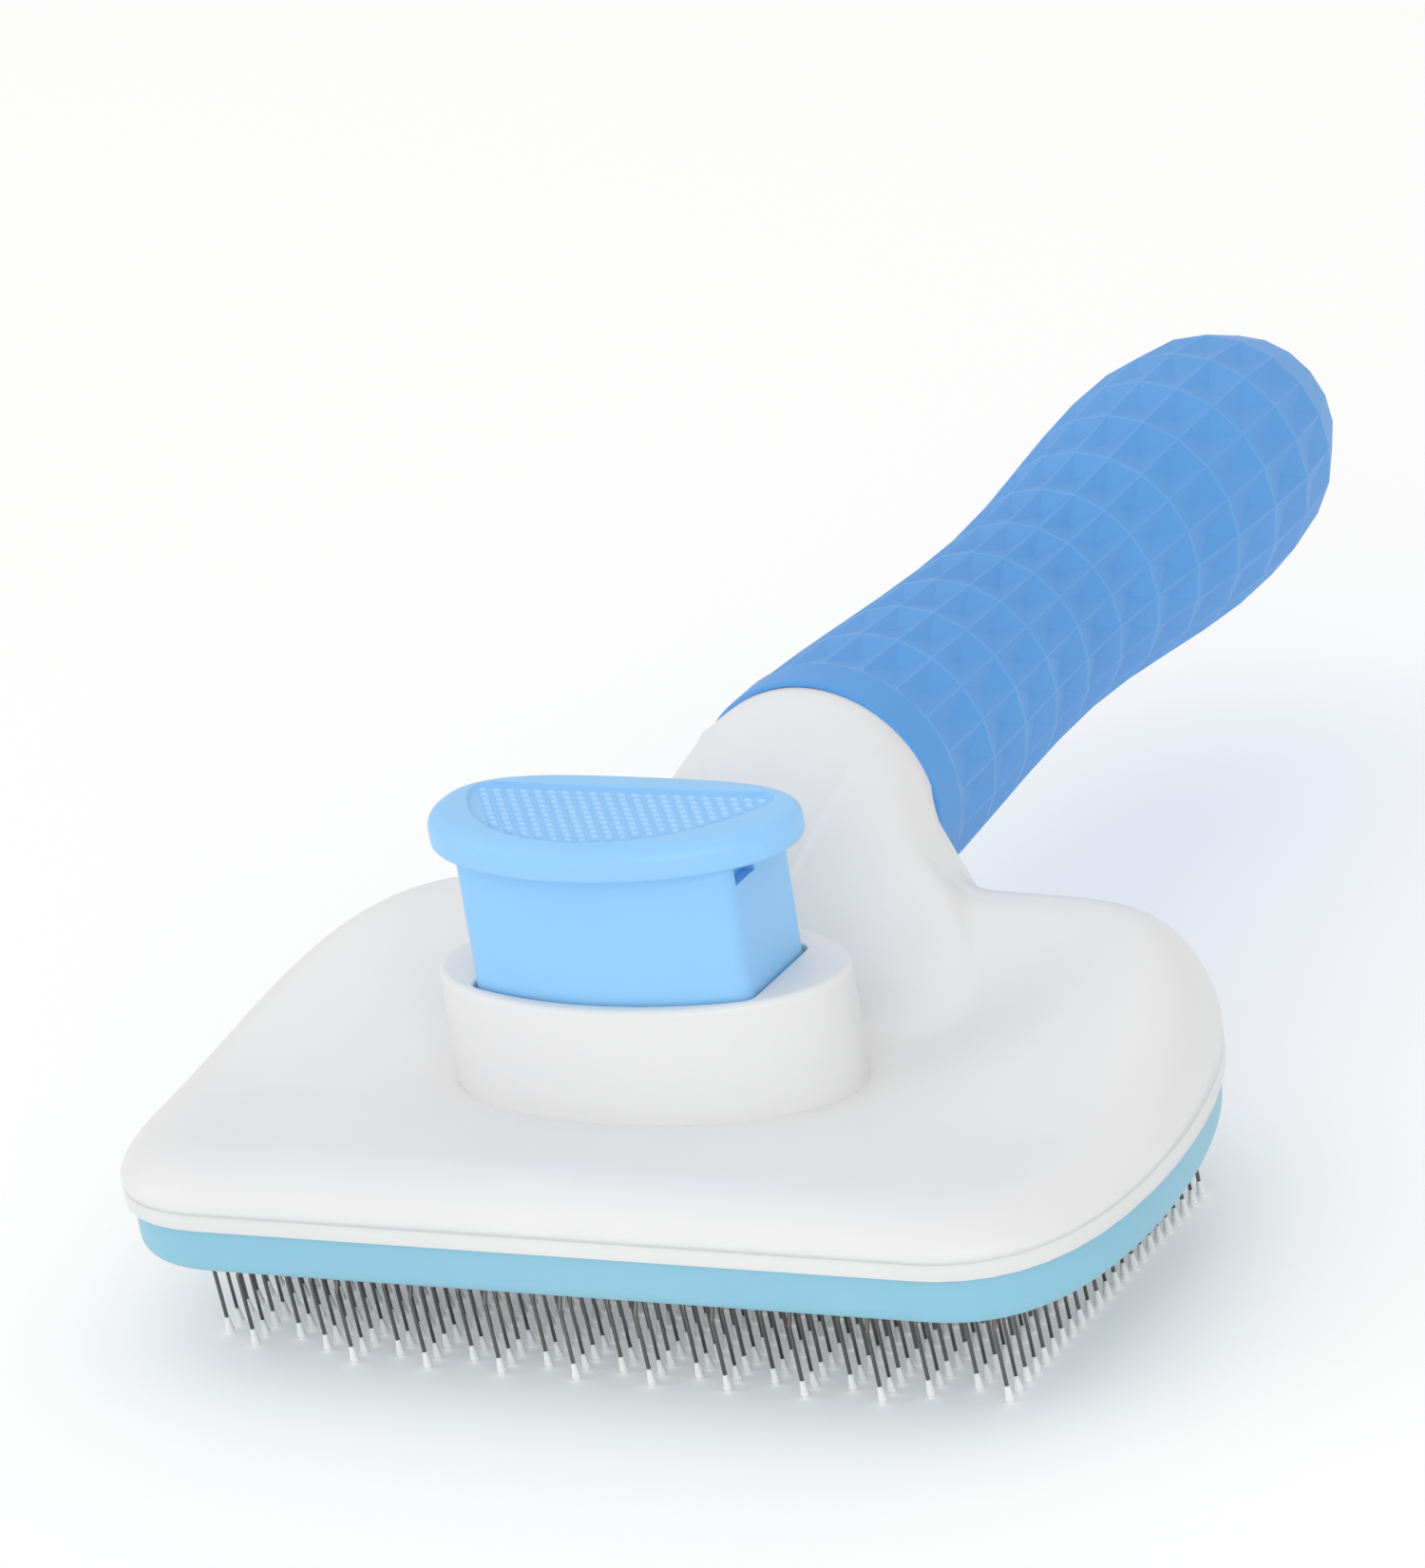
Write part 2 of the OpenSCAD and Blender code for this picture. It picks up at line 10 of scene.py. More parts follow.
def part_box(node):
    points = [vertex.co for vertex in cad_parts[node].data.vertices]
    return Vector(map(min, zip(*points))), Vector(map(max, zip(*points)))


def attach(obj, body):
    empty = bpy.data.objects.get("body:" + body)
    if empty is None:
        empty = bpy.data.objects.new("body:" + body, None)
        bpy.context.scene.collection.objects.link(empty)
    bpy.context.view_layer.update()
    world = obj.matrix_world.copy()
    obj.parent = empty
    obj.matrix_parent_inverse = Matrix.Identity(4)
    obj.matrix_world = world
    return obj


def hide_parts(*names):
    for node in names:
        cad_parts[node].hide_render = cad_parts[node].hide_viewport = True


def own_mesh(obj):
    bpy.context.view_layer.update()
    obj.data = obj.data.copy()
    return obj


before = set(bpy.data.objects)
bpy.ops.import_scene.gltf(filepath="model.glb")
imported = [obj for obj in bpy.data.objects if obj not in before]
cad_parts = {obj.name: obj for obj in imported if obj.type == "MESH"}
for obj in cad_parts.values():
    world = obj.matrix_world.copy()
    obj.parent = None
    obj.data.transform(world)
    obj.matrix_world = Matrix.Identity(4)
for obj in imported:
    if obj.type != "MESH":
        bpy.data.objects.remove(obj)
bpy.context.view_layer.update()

MM = 0.001

# Places read from the frame, in millimetres. y is counted from the head's front edge.
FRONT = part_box("upper_shell")[0][1] / MM
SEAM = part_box("lower_chassis")[0][2] / MM
HALF_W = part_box("upper_shell")[1][0] / MM
PART_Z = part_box("upper_shell")[0][2] / MM - 0.08
FACE_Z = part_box("stripper_plate")[0][2] / MM
GRIP_LOW, GRIP_HIGH = [np.array(c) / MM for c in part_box("grip_sleeve")]
AXIS_Z = (GRIP_LOW[2] + GRIP_HIGH[2]) / 2
GRIP_START = GRIP_LOW[1] - FRONT
GRIP_END = GRIP_HIGH[1] - FRONT
COLLAR_LOW, COLLAR_HIGH = [np.array(c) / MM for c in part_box("button_collar")]
CAP_LOW, CAP_HIGH = [np.array(c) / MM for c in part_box("button_cap")]

# Driving sizes. The skin's neck is drawn thicker than the frame's, after the photograph.
HEAD_D = 64.0
NECK_R = 12.5
NECK_SKIN_R = 12.9
NECK_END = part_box("upper_shell")[1][1] / MM - FRONT
BUTTON_HW = 15.0
PITCH = 4.1
COLUMNS = 22
BUTTON_FRONT = 17.3
BUTTON_CORNER = 20.2
BUTTON_BACK = 33.0
PIN_FRONT = 5.4
PIN_REAR = HEAD_D - 5
SLOT_HW = 0.7
SLOT_AHEAD, SLOT_BEHIND = 2.4, 2.2
WALL = 1.6
POST_X, POST_R = 12.3, 1.5
TAB_REACH = 1.4
BUTTON_GAP = 0.28


# ---------------------------------------------------------------- mesh helpers

def add_piece(name, verts, faces, body, slot, material, replaces=(), smooth=True):
    """Makes a mesh piece from points in millimetres, with y counted from the front edge."""
    v = np.array(verts, float)
    v[:, 1] += FRONT
    mesh = bpy.data.meshes.new(name)
    mesh.from_pydata((v * MM).tolist(), [], [list(f) for f in faces])
    mesh.update()
    obj = bpy.data.objects.new(name, mesh)
    bpy.context.scene.collection.objects.link(obj)
    work = bmesh.new()
    work.from_mesh(mesh)
    bmesh.ops.recalc_face_normals(work, faces=work.faces)
    work.to_mesh(mesh)
    work.free()
    for poly in mesh.polygons:
        poly.use_smooth = smooth
    mesh.materials.append(material)
    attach(obj, body)
    if replaces:
        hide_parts(*replaces)
    return obj


def loft(rings, cap_first=False, cap_last=False):
    """Points and faces of closed rings joined in order."""
    n = len(rings[0])
    verts = np.concatenate(rings)
    faces = []
    for j in range(len(rings) - 1):
        a, b = j * n, (j + 1) * n
        for i in range(n):
            k = (i + 1) % n
            faces.append((a + i, a + k, b + k, b + i))
    if cap_first:
        faces.append(tuple(range(n - 1, -1, -1)))
    if cap_last:
        faces.append(tuple(range((len(rings) - 1) * n, len(rings) * n)))
    return verts, faces


def at_height(outline, z):
    return np.column_stack([outline, np.full(len(outline), z)])


def bezier(p, n):
    p = np.array(p, float)
    t = np.linspace(0, 1, n + 1)[1:, None]
    return ((1 - t) ** 3 * p[0] + 3 * (1 - t) ** 2 * t * p[1]
            + 3 * (1 - t) * t ** 2 * p[2] + t ** 3 * p[3])


def resample(points, n):
    """n points spaced evenly along a closed outline."""
    loop = np.vstack([points, points[:1]])
    step = np.hypot(*np.diff(loop, axis=0).T)
    along = np.concatenate([[0], np.cumsum(step)])
    want = np.arange(n) * along[-1] / n
    return np.column_stack([np.interp(want, along, loop[:, 0]), np.interp(want, along, loop[:, 1])])


def mirrored(half):
    """A closed outline from its right half, which runs from the front centre to the rear centre."""
    left = half[::-1] * [-1, 1]
    keep = np.abs(left[:, 0]) > 1e-6
    return np.vstack([half, left[keep]])


def inset(outline, d):
    """The outline moved inwards by d along its normals (for anticlockwise outlines)."""
    along = np.roll(outline, -1, axis=0) - np.roll(outline, 1, axis=0)
    along /= np.hypot(*along.T)[:, None]
    return outline + np.column_stack([-along[:, 1], along[:, 0]]) * d


def edge_distance(points, outline):
    """Shortest distance from each point to a closed outline."""
    a = outline
    ab = np.roll(outline, -1, axis=0) - a
    best = np.full(len(points), 1e9)
    for s in range(0, len(points), 2000):
        p = points[s:s + 2000, None, :] - a[None]
        t = np.clip((p * ab).sum(2) / (ab * ab).sum(1), 0, 1)
        d = p - t[..., None] * ab
        best[s:s + 2000] = np.sqrt((d * d).sum(2)).min(1)
    return best


def clamp01(t):
    return np.clip(t, 0, 1)


def ramp(a, b, t):
    u = clamp01((t - a) / (b - a))
    return u * u * (3 - 2 * u)


def mix(a, b, t):
    return a + (b - a) * t


def bevel(obj, width, segments=2, angle=30, harden=True):
    mod = obj.modifiers.new("soft_edges", "BEVEL")
    mod.width = width * MM
    mod.segments = segments
    mod.limit_method = "ANGLE"
    mod.angle_limit = math.radians(angle)
    mod.harden_normals = harden
    mod.use_clamp_overlap = True
    return mod


# ---------------------------------------------------------------- materials

def new_material(name):
    mat = bpy.data.materials.new(name)
    mat.use_nodes = True
    return mat, mat.node_tree.nodes, mat.node_tree.links


def srgb(r, g, b):
    """Linear colour of an 8-bit sRGB one."""
    return tuple((c / 255 / 12.92) if c / 255 <= 0.04045 else ((c / 255 + 0.055) / 1.055) ** 2.4
                 for c in (r, g, b))


def moulded(name, colour, shade, rough, grain_scale, grain, wave=0.0, subsurface=0.0, metal=0.0, coat=0.0):
    """Moulded plastic or metal: faint colour drift, uneven gloss, fine grain and shallow sink marks."""
    mat, nodes, links = new_material(name)
    bsdf = nodes["Principled BSDF"]
    coords = nodes.new("ShaderNodeTexCoord")

    drift = nodes.new("ShaderNodeTexNoise")
    drift.inputs["Scale"].default_value = 38.0
    drift.inputs["Detail"].default_value = 3.0
    links.new(coords.outputs["Object"], drift.inputs["Vector"])
    colours = nodes.new("ShaderNodeValToRGB")
    colours.color_ramp.elements[0].position = 0.3
    colours.color_ramp.elements[0].color = (*shade, 1)
    colours.color_ramp.elements[1].position = 0.7
    colours.color_ramp.elements[1].color = (*colour, 1)
    links.new(drift.outputs["Fac"], colours.inputs["Fac"])
    links.new(colours.outputs["Color"], bsdf.inputs["Base Color"])

    fine = nodes.new("ShaderNodeTexNoise")
    fine.inputs["Scale"].default_value = grain_scale
    fine.inputs["Detail"].default_value = 4.0
    fine.inputs["Roughness"].default_value = 0.6
    links.new(coords.outputs["Object"], fine.inputs["Vector"])
    gloss = nodes.new("ShaderNodeMapRange")
    gloss.inputs["To Min"].default_value = rough[0]
    gloss.inputs["To Max"].default_value = rough[1]
    links.new(fine.outputs["Fac"], gloss.inputs["Value"])
    links.new(gloss.outputs["Result"], bsdf.inputs["Roughness"])

    grain_bump = nodes.new("ShaderNodeBump")
    grain_bump.inputs["Strength"].default_value = grain
    grain_bump.inputs["Distance"].default_value = 0.00008
    links.new(fine.outputs["Fac"], grain_bump.inputs["Height"])
    if wave:
        slow = nodes.new("ShaderNodeTexNoise")
        slow.inputs["Scale"].default_value = 60.0
        slow.inputs["Detail"].default_value = 1.0
        links.new(coords.outputs["Object"], slow.inputs["Vector"])
        sink = nodes.new("ShaderNodeBump")
        sink.inputs["Strength"].default_value = wave
        sink.inputs["Distance"].default_value = 0.0003
        links.new(slow.outputs["Fac"], sink.inputs["Height"])
        links.new(sink.outputs["Normal"], grain_bump.inputs["Normal"])
    links.new(grain_bump.outputs["Normal"], bsdf.inputs["Normal"])

    bsdf.inputs["Metallic"].default_value = metal
    bsdf.inputs["Coat Weight"].default_value = coat
    bsdf.inputs["Coat Roughness"].default_value = 0.25
    if subsurface:
        bsdf.inputs["Subsurface Weight"].default_value = subsurface
        bsdf.inputs["Subsurface Radius"].default_value = (0.004, 0.004, 0.005)
        bsdf.inputs["Subsurface Scale"].default_value = 0.3
    return mat


HOUSING = moulded("housing_white", srgb(229, 229, 229), srgb(225, 225, 226), (0.34, 0.42), 2600, 0.1, 0.05)
CHASSIS = moulded("chassis_white", srgb(227, 227, 227), srgb(222, 222, 223), (0.36, 0.46), 2600, 0.12)
PLATE = moulded("plate_cyan", srgb(139, 195, 217), srgb(134, 192, 214), (0.34, 0.42), 2600, 0.12, 0.04)
BUTTON = moulded("button_blue", srgb(145, 202, 247), srgb(140, 198, 244), (0.32, 0.4), 2600, 0.1, 0.04)
# Lighter blue for the cap's diamonds: a painted highlight on the knurl, which is the cap's own blue.
KNURL_HIGHLIGHT = moulded("button_knurl_painted_highlight", srgb(170, 217, 252), srgb(163, 212, 250), (0.28, 0.36), 2600, 0.1)
GRIP = moulded("grip_rubber", srgb(86, 157, 225), srgb(80, 152, 220), (0.42, 0.54), 3400, 0.3, 0.03)
# Lighter blue for the grip's ridge bevels and the ring behind its front band: a painted highlight, not a
# colour the rubber has.
GRIP_RIDGE_HIGHLIGHT = moulded("grip_ridge_painted_highlight", srgb(96, 164, 229), srgb(90, 159, 225), (0.36, 0.48), 3400, 0.2)
BASE = moulded("base_blue", srgb(110, 160, 186), srgb(104, 154, 180), (0.42, 0.55), 2200, 0.2)
WIRE = moulded("pin_steel", srgb(124, 122, 120), srgb(98, 96, 95), (0.26, 0.42), 5200, 0.2, metal=1.0)
TIP = moulded("tip_resin", srgb(246, 246, 244), srgb(238, 238, 236), (0.12, 0.22), 3000, 0.05, coat=0.4)
SCREW = moulded("screw_zinc", srgb(168, 168, 170), srgb(150, 150, 152), (0.28, 0.45), 4200, 0.25, metal=1.0)


# ---------------------------------------------------------------- outlines

HW = HALF_W
head_right = np.vstack([
    np.column_stack([np.linspace(0, HW - 15.4, 12), np.zeros(12)]),
    bezier([(HW - 15.4, 0), (HW - 7.2, 0), (HW - 0.3, 5), (HW - 0.1, 22)], 24),
    bezier([(HW - 0.1, 22), (HW + 0.1, 30), (HW - 1.2, 43), (HW - 6.5, 54)], 24),
    bezier([(HW - 6.5, 54), (HW - 9.7, 60.6), (HW - 15, HEAD_D - 0.3), (HW - 24, HEAD_D - 0.2)], 24),
])
head_outline = resample(mirrored(np.vstack([head_right, [[20, HEAD_D], [0, HEAD_D]]])), 420)

shell_right = np.vstack([
    head_right,
    [[26, HEAD_D - 0.1], [20.5, HEAD_D]],
    bezier([(20.5, HEAD_D), (15, HEAD_D + 0.05),
            (NECK_SKIN_R + 0.2, HEAD_D + 0.5), (NECK_SKIN_R, NECK_END - 2.2)], 20),
    [[NECK_SKIN_R, NECK_END]],
    [[x, NECK_END] for x in np.linspace(NECK_SKIN_R, 0, 12)[1:]],
])
shell_outline = resample(mirrored(shell_right), 620)


# ---------------------------------------------------------------- upper shell

FRONT_RISE = 5.6
SHOULDER_RISE = 7.2
EDGE_ROUND = 7.0


def shoulder(x, y):
    rise = mix(ramp(39, 55, y), ramp(18, 52, y), ramp(20, 42, np.abs(x)))
    return SEAM + FRONT_RISE + SHOULDER_RISE * rise + 1.1 * (1 - (x / HW) ** 2)


def neck_height(x, y):
    fall = 8 * (1 - ramp(34, 44, y))
    base = mix(shoulder(12, y) - 2 - fall, AXIS_Z, ramp(56, HEAD_D, y))
    top = mix(SEAM + 7.5, AXIS_Z + NECK_SKIN_R, ramp(37, 66.5, y)) - fall
    half = NECK_SKIN_R + 12 * (1 - ramp(43, 69, y))
    full = mix(2.15, 2.0, ramp(60, 66.5, y))
    inside = base + (top - base) * np.clip(1 - np.abs(x / half) ** full, 0, 1) ** (1 / full)
    return np.where(np.abs(x) < half, inside, base - 2 * (np.abs(x) - half))


def blend_max(a, b, k):
    h = clamp01(0.5 + (a - b) / (2 * k))
    return mix(b, a, h) + k * h * (1 - h)


def shell_low(p):
    """Height of the shell's lower edge over each point of its outline."""
    neck_side = np.clip(AXIS_Z - 2 * (np.abs(p[:, 0]) - NECK_R), PART_Z, AXIS_Z)
    return np.where(p[:, 1] > HEAD_D - 1.5, neck_side, PART_Z)


def collar_oval():
    """Centre and half sizes of the collar's oval."""
    low, high = COLLAR_LOW, COLLAR_HIGH
    return 0, (low[1] + high[1]) / 2 - FRONT, (high[0] - low[0]) / 2, (high[1] - low[1]) / 2


def build_shell():
    mid = np.array([0, 42.0])
    steps = 1 - np.concatenate([np.linspace(0, 0.16, 26) ** 1.25 * 1.4, np.linspace(0.16, 0.97, 58)[1:]])
    steps = np.clip(steps, 0.02, 1)
    n = len(shell_outline)
    low = shell_low(shell_outline)
    at_end = shell_outline[:, 1] > NECK_END - 0.02
    edge_line = inset(shell_outline, np.where(shell_outline[:, 1] < HEAD_D - 1, 0.14, 0)[:, None]) - mid
    rings = []
    for s in steps:
        q = mid + s * (edge_line if s == 1 else shell_outline - mid)
        t = clamp01(edge_distance(q, shell_outline) / EDGE_ROUND)
        dome = low + (shoulder(q[:, 0], q[:, 1]) - low) * np.sqrt(1 - (1 - t) ** 2)
        neck = neck_height(q[:, 0], q[:, 1])
        rim = mix(low, PART_Z, ramp(0, 0.7, t))
        z = np.maximum(rim, blend_max(dome, neck, mix(0.2, 6, ramp(0, 0.5, t))))
        z = np.where(at_end & (s > 0.9), np.maximum(neck, AXIS_Z), z)
        if s == 1:
            z = np.where(at_end, np.maximum(neck, AXIS_Z), low)
        soften = 0.5 * ramp(0.05, 0.4, t) * (1 - ramp(60, 65, q[:, 1]))
        for _ in range(40 if s < 1 else 0):
            z = z + soften * ((np.roll(z, 1) + np.roll(z, -1)) / 2 - z)
        rings.append(np.column_stack([q, z]))
    verts, faces = loft(rings)
    cx, cy, a, b = collar_oval()
    opening = []
    for f in faces:
        c = verts[list(f)].mean(0)
        if ((c[0] - cx) / (a - 0.7)) ** 2 + ((c[1] - cy) / (b - 0.7)) ** 2 > 1:
            opening.append(f)
    last = len(steps) - 1
    centre = len(verts)
    verts = np.vstack([verts, [[mid[0], mid[1], rings[-1][:, 2].mean()]]])
    opening += [(last * n + i, last * n + (i + 1) % n, centre) for i in range(n)]
    obj = add_piece("upper_shell_skin", verts, opening, "housing", "housing_white", HOUSING,
                    ["upper_shell"])
    wall = obj.modifiers.new("wall", "SOLIDIFY")
    wall.thickness = WALL * MM
    wall.offset = -1
    return obj


build_shell()


# ---------------------------------------------------------------- stripper plate

def column_x(i):
    """Distance of a column of pins from the middle."""
    return (i - (COLUMNS - 1) / 2) * PITCH


def column_span(x):
    """The pin field's front and rear ends along one column. It is shorter towards the sides."""
    u = abs(x) / HW
    return PIN_FRONT + 7 * u ** 8, PIN_REAR - 18 * u ** 6


def build_plate():
    rings = []
    edge_r = 1.7
    top = SEAM - 0.1
    outer = inset(head_outline, 1.0)
    rings.append(at_height(inset(outer, 1.8), FACE_Z + 1.6))
    rings.append(at_height(inset(outer, 1.8), top))
    rings.append(at_height(inset(outer, 0.25), top))
    rings.append(at_height(outer, top - 0.25))
    for k in range(0, 9):
        a = math.pi / 2 * k / 8
        rings.append(at_height(inset(outer, edge_r * (1 - math.cos(a))),
                               FACE_Z + edge_r - edge_r * math.sin(a)))
    verts, faces = loft(rings, cap_first=True, cap_last=True)
    obj = add_piece("stripper_plate_slotted", verts, faces, "plunger", "plate_cyan", PLATE,
                    ["stripper_plate"])

    cut = bmesh.new()
    for i in range(COLUMNS):
        x = column_x(i)
        first, last = column_span(x)
        y0, y1 = first - SLOT_AHEAD, last + SLOT_BEHIND
        ring = [(x + SLOT_HW * math.cos(a), y0 + SLOT_HW * math.sin(a))
                for a in np.linspace(math.pi, 2 * math.pi, 9)]
        ring += [(x + SLOT_HW * math.cos(a), y1 + SLOT_HW * math.sin(a))
                 for a in np.linspace(0, math.pi, 9)]
        low = [cut.verts.new((px * MM, (py + FRONT) * MM, (FACE_Z - 1) * MM)) for px, py in ring]
        high = [cut.verts.new((px * MM, (py + FRONT) * MM, (FACE_Z + 3) * MM)) for px, py in ring]
        cut.faces.new(low[::-1])
        cut.faces.new(high)
        for a in range(len(ring)):
            b = (a + 1) % len(ring)
            cut.faces.new((low[a], low[b], high[b], high[a]))
    mesh = bpy.data.meshes.new("slot_cutter")
    cut.to_mesh(mesh)
    cut.free()
    cutter = bpy.data.objects.new("slot_cutter", mesh)
    bpy.context.scene.collection.objects.link(cutter)
    apply_boolean(obj, cutter)
    bevel(obj, 0.12, 2, 50, harden=False)
    return obj


def apply_boolean(obj, cutter):
    """Cuts the cutter out of the piece for good and removes the cutter."""
    mod = obj.modifiers.new("cut", "BOOLEAN")
    mod.operation = "DIFFERENCE"
    mod.solver = "EXACT"
    mod.object = cutter
    deps = bpy.context.evaluated_depsgraph_get()
    result = bpy.data.meshes.new_from_object(obj.evaluated_get(deps))
    obj.modifiers.remove(mod)
    material = obj.data.materials[0]
    obj.data = result
    result.materials.clear()
    result.materials.append(material)
    bpy.data.objects.remove(cutter)


def sharp_smooth(obj, angle=35):
    """Smooth shading with edges sharper than the angle kept crisp."""
    mesh = obj.data
    work = bmesh.new()
    work.from_mesh(mesh)
    limit = math.radians(angle)
    for e in work.edges:
        e.smooth = not (len(e.link_faces) == 2 and e.calc_face_angle(0) > limit)
    for f in work.faces:
        f.smooth = True
    work.to_mesh(mesh)
    work.free()


plate = build_plate()
sharp_smooth(plate)


# ---------------------------------------------------------------- button collar

def d_outline(grow, corner, n=240):
    """The button's D-shaped plan with rounded corners, as n points by angle from its middle."""
    sag = BUTTON_CORNER - BUTTON_FRONT
    arc_r = (BUTTON_HW ** 2 + sag ** 2) / (2 * sag) + grow
    half = BUTTON_HW + grow
    back = BUTTON_BACK + grow
    cy = BUTTON_FRONT + (BUTTON_HW ** 2 + sag ** 2) / (2 * sag)
    return rounded_bow(half, back, arc_r, cy, corner, n)


def rounded_bow(half, back, arc_r, arc_y, corner, n):
    """A plan that is straight at the back and sides and bowed at the front, with rounded corners."""
    # front corner: circle tangent to the side and the bow
    fx = half - corner
    fy = arc_y - math.sqrt((arc_r - corner) ** 2 - fx ** 2)
    start = -math.pi / 2 + math.atan2(fx, arc_y - fy)
    front_arc = [(r_x, arc_y - math.sqrt(arc_r ** 2 - r_x ** 2)) for r_x in
                 np.linspace(0, fx + corner * math.cos(start), 30)]
    corner_front = [(fx + corner * math.cos(a), fy + corner * math.sin(a)) for a in
                    np.linspace(start, 0, 12)[1:]]
    corner_back = [(fx + corner * math.cos(a), back - corner + corner * math.sin(a)) for a in
                   np.linspace(0, math.pi / 2, 12)]
    half_run = np.array(front_arc + corner_front + corner_back + [(0, back)])
    return resample(mirrored(half_run), n)


def by_angle(outline, centre, n):
    """Points of a closed outline at n even directions from a centre inside it."""
    loop = resample(outline, 2400)
    ang = np.arctan2(loop[:, 1] - centre[1], loop[:, 0] - centre[0])
    reach = np.hypot(loop[:, 0] - centre[0], loop[:, 1] - centre[1])
    order = np.argsort(ang)
    want = -math.pi + np.arange(n) * 2 * math.pi / n
    r = np.interp(want, ang[order], reach[order], period=2 * math.pi)
    return np.column_stack([centre[0] + r * np.cos(want), centre[1] + r * np.sin(want)])


def build_collar():
    """Oval ring round the button, without the channels that the frame's collar has for the tabs."""
    n = 320
    cx, cy, a, b = collar_oval()
    t = np.linspace(0, 2 * math.pi, 720, endpoint=False)
    centre = (0, 26.6)

    def oval(d):
        return by_angle(np.column_stack([(a - d) * np.cos(t), cy + (b - d) * np.sin(t)]), centre, n)

    def hole(d):
        return by_angle(d_outline(BUTTON_GAP + d, 1.4 + d, 480), centre, n)

    top = COLLAR_HIGH[2]
    r = 0.7
    rings = [at_height(hole(0), COLLAR_LOW[2] + 0.4), at_height(oval(0.4), COLLAR_LOW[2] - 0.9),
             at_height(oval(0), COLLAR_LOW[2] - 0.9)]
    rings.append(at_height(oval(0), top - r))
    for k in range(1, 7):
        q = math.pi / 2 * k / 6
        rings.append(at_height(oval(r * (1 - math.cos(q))), top - r + r * math.sin(q)))
    for k in range(1, 6):
        rings.append(at_height(mix(oval(r), hole(0.3), k / 5), top))
    for k in range(1, 5):
        q = math.pi / 2 * k / 4
        rings.append(at_height(hole(0.3 * (1 - math.sin(q))), top - 0.3 * (1 - math.cos(q))))
    rings.append(at_height(hole(0), COLLAR_LOW[2] + 0.4))
    verts, faces = loft(rings)
    obj = add_piece("button_collar_ring", verts, faces, "housing", "housing_white", HOUSING,
                    ["button_collar"])
    sharp_smooth(obj, 40)
    return obj


build_collar()


# ---------------------------------------------------------------- button body

def cylinder(x, y, r, z0, z1, n=24):
    t = np.arange(n) * 2 * math.pi / n
    ring = np.column_stack([x + r * np.cos(t), y + r * np.sin(t)])
    return loft([at_height(ring, z0), at_height(ring, z1)], True, True)


def block(low, high):
    ring = np.array([(low[0], low[1]), (high[0], low[1]), (high[0], high[1]), (low[0], high[1])])
    return loft([at_height(ring, low[2]), at_height(ring, high[2])], True, True)


def joined(parts):
    verts, faces, start = [], [], 0
    for v, f in parts:
        verts.append(v)
        faces += [[start + i for i in face] for face in f]
        start += len(v)
    return np.vstack(verts), faces


def build_body():
    """Hollow D-shaped body with its side notches, four push posts and two stop tabs."""
    bottom = SEAM + 10.6
    roof = CAP_LOW[2] - 4
    outer = d_outline(0, 1.7, 360)
    inner = d_outline(-WALL, 0.8, 360)
    rings = [at_height(inner, roof), at_height(inner, bottom + 0.3),
             at_height(inset(outer, 1.3), bottom), at_height(inset(outer, 0.3), bottom),
             at_height(outer, bottom + 0.3), at_height(outer, CAP_LOW[2])]
    obj = add_piece("button_body_moulded", *loft(rings, True, True), "plunger", "button_blue", BUTTON,
                    ["button_body"])
    notch = [block((side * (BUTTON_HW - 0.4) - 1, BUTTON_CORNER + 1, CAP_LOW[2] - 2.3),
                   (side * (BUTTON_HW - 0.4) + 1, BUTTON_CORNER + 5, CAP_LOW[2] + 1)) for side in (-1, 1)]
    cutter = add_piece("notch_cutter", *joined(notch), "plunger", "button_blue", BUTTON, smooth=False)
    apply_boolean(obj, cutter)
    sharp_smooth(obj, 40)

    parts = [cylinder(side * POST_X, y, POST_R, FACE_Z + 1.6, roof)
             for side in (-1, 1) for y in (22.8, 31.2)]
    for side in (-1, 1):
        low_x, high_x = sorted((side * (BUTTON_HW - 1), side * (BUTTON_HW + TAB_REACH)))
        parts.append(block((low_x, 24, COLLAR_HIGH[2] - 4), (high_x, 32, COLLAR_HIGH[2] - 2.1)))
    posts = add_piece("button_posts_and_tabs", *joined(parts), "plunger", "button_blue", BUTTON,
                      smooth=False)
    sharp_smooth(posts, 40)
    bevel(posts, 0.2, 2, 50)


build_body()


# ---------------------------------------------------------------- return springs

SPRING_LOW, SPRING_HIGH = [np.array(c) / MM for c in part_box("return_springs")]


def coil(x, y, low, high, radius, wire, turns, sides=10, per_turn=32):
    """A compression spring of round wire whose end turns lie closed."""
    n = turns * per_turn
    run = high - low - wire
    rings = []
    b = np.arange(sides) * 2 * math.pi / sides
    for i in range(n + 1):
        a = 2 * math.pi * i / per_turn
        u = i / per_turn
        share = mix(0.12 * u, 0.12 + (u - 1) * 0.76 / (turns - 2), clamp01(u - 0.5))
        share = mix(share, 1 - 0.12 * (turns - u), clamp01(u - turns + 1.5))
        r = radius + wire / 2 * np.cos(b)
        z = low + wire / 2 + run * clamp01(share) + wire / 2 * np.sin(b)
        rings.append(np.column_stack([x + r * math.cos(a), y + r * math.sin(a), z]))
    return loft(rings, True, True)


def build_springs():
    low, high = SPRING_LOW[2], SPRING_HIGH[2]
    wire, reach = 0.7, SPRING_HIGH[0]
    radius = (SPRING_HIGH[1] - SPRING_LOW[1]) / 2 - wire / 2
    y = (SPRING_HIGH[1] + SPRING_LOW[1]) / 2 - FRONT
    parts = [coil(side * (reach - radius - wire / 2), y, low, high, radius, wire, 8) for side in (-1, 1)]
    obj = add_piece("return_springs_coiled", *joined(parts), "housing", "steel", SCREW, ["return_springs"])
    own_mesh(obj)


build_springs()


# ---------------------------------------------------------------- button cap

